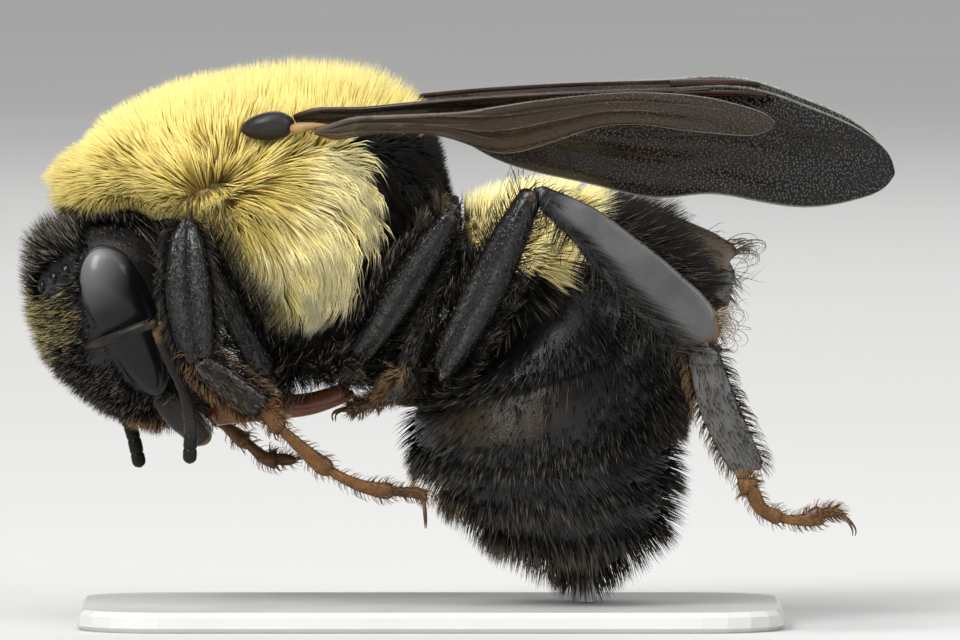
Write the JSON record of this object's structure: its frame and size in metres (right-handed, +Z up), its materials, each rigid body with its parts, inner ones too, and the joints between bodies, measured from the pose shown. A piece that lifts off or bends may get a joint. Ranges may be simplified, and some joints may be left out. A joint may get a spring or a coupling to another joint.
{
  "type": "bumblebee display model",
  "caption": "Life-size queen bumblebee with curled abdomen and raised wings, held still above a flat display plate by a short rod.",
  "frame": {"origin": "centre of the stand plate's underside", "axes": "+Z up, -X towards the head, -Y towards the bee's left side"},
  "size_m": [0.0212, 0.0126, 0.0137],
  "materials": {
    "yellow_pile": "dense soft hair, pale yellow",
    "black_pile": "hair over dark shell, black-brown",
    "black_shell": "fine-pitted dark horny shell, satin",
    "brown_shell": "thin amber-brown horny shell, satin",
    "eye": "smooth glossy facets",
    "wing": "thin smoky membrane with dark veins",
    "stand_plate": "satin lacquer, pale grey",
    "stand_rod": "bright drawn wire"
  },
  "bodies": {
    "root": {"head": "black_pile", "eye_left": "eye", "eye_right": "eye", "antenna_left_scape": "black_shell", "antenna_left_flagellum": "black_shell", "mandible_left": "black_shell", "antenna_right_scape": "black_shell", "antenna_right_flagellum": "black_shell", "mandible_right": "black_shell", "proboscis": "brown_shell", "thorax": "yellow_pile", "tegula_left": "black_shell", "forewing_left": "wing", "hindwing_left": "wing", "foreleg_left_coxa": "black_shell", "foreleg_left_femur": "black_shell", "foreleg_left_tibia": "black_shell", "foreleg_left_basitarsus": "black_shell", "foreleg_left_tarsus": "brown_shell", "midleg_left_coxa": "black_shell", "midleg_left_femur": "black_shell", "midleg_left_tibia": "black_shell", "midleg_left_basitarsus": "black_shell", "midleg_left_tarsus": "brown_shell", "hindleg_left_coxa": "black_shell", "hindleg_left_femur": "black_shell", "hindleg_left_tibia": "black_shell", "hindleg_left_basitarsus": "black_shell", "hindleg_left_tarsus": "brown_shell", "tegula_right": "black_shell", "forewing_right": "wing", "hindwing_right": "wing", "foreleg_right_coxa": "black_shell", "foreleg_right_femur": "black_shell", "foreleg_right_tibia": "black_shell", "foreleg_right_basitarsus": "black_shell", "foreleg_right_tarsus": "brown_shell", "midleg_right_coxa": "black_shell", "midleg_right_femur": "black_shell", "midleg_right_tibia": "black_shell", "midleg_right_basitarsus": "black_shell", "midleg_right_tarsus": "brown_shell", "hindleg_right_coxa": "black_shell", "hindleg_right_femur": "black_shell", "hindleg_right_tibia": "black_shell", "hindleg_right_basitarsus": "black_shell", "hindleg_right_tarsus": "brown_shell", "abdomen_1": "yellow_pile", "abdomen_2": "black_pile", "abdomen_3": "black_pile", "abdomen_4": "black_pile", "abdomen_5": "black_pile", "abdomen_6": "black_pile", "stand_base": "stand_plate", "stand_rod": "stand_rod"}
  },
  "joints": []
}
